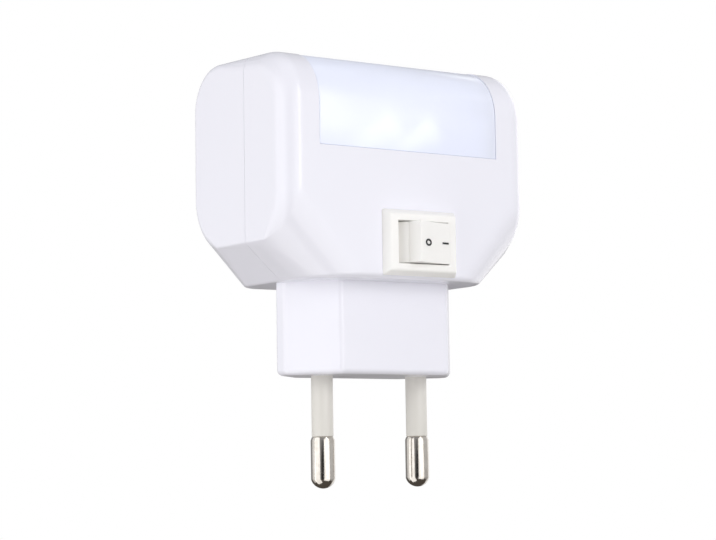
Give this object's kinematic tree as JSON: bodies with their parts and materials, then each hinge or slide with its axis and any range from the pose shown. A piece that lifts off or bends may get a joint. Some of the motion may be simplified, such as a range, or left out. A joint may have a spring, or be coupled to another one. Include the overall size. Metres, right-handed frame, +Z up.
{
  "type": "plug-in night light",
  "caption": "Plug-in mains night light: white two-part housing on a flat two-pin plug, lit window over the front top edge, ivory rocker switch.",
  "frame": {"origin": "centre of the plug's face that meets the wall socket", "axes": "+Z up from the plug's face into the housing, +X to the right along the line of the pins, -Y to the front with the window and switch"},
  "size_m": [0.0488, 0.0332, 0.0708],
  "materials": {
    "housing_white": "smooth satin-gloss moulded plastic, very slightly lavender",
    "lens_clear": "clear moulded window, lit pale blue from behind",
    "reflector_white": "white moulded plastic",
    "plug_white": "smooth moulded plastic",
    "pin_nickel": "nickel-plated brass, lightly brushed",
    "sleeve_grey": "light warm grey plastic",
    "switch_ivory": "ivory moulded plastic",
    "mark_black": "printed mark",
    "plunger_brown": "slippery moulded plastic",
    "spring_steel": "spring wire",
    "contact_brass": "stamped brass",
    "board_green": "solder-masked laminate",
    "led_clear": "clear epoxy",
    "lead_tin": "tinned wire",
    "film_red": "dipped epoxy",
    "can_blue": "shrink sleeve",
    "epoxy_black": "moulded epoxy",
    "resistor_tan": "lacquered",
    "wire_brown": "insulation",
    "wire_black": "insulation",
    "wire_blue": "insulation",
    "screw_steel": "zinc-plated steel"
  },
  "bodies": {
    "housing": {"front_shell": "housing_white", "rear_shell": "housing_white", "window_lens": "lens_clear", "reflector": "reflector_white", "plug_body": "plug_white", "contact_pin_left": "pin_nickel", "contact_pin_right": "pin_nickel", "pin_sleeve_left": "sleeve_grey", "pin_sleeve_right": "sleeve_grey", "switch_frame": "switch_ivory", "common_terminal": "contact_brass", "load_terminal": "contact_brass", "circuit_board": "board_green", "led_left": "led_clear", "led_centre": "led_clear", "led_right": "led_clear", "led_leads": "lead_tin", "film_capacitor": "film_red", "smoothing_capacitor": "can_blue", "bridge_rectifier": "epoxy_black", "resistors": "resistor_tan", "component_leads": "lead_tin", "live_wire": "wire_brown", "switched_wire": "wire_black", "neutral_wire": "wire_blue", "case_screws": "screw_steel"},
    "rocker": {"switch_rocker": "switch_ivory", "rocker_marks": "mark_black", "rocker_plunger": "plunger_brown", "rocker_spring": "spring_steel"},
    "lever": {"contact_lever": "contact_brass"}
  },
  "joints": [
    {"name": "rocker_tilt", "type": "hinge", "parent": "housing", "child": "rocker", "pos_m": [0.0013, -0.0106, 0.0212], "axis": [0, 0, -1], "range_deg": [0, 30]},
    {"name": "lever_tilt", "type": "hinge", "parent": "housing", "child": "lever", "pos_m": [0.0013, -0.0051, 0.0212], "axis": [0, 0, 1], "range_deg": [0, 12]}
  ],
  "couplings": [
    {"joint": "lever_tilt", "follows": "rocker_tilt", "ratio": 0.4}
  ]
}
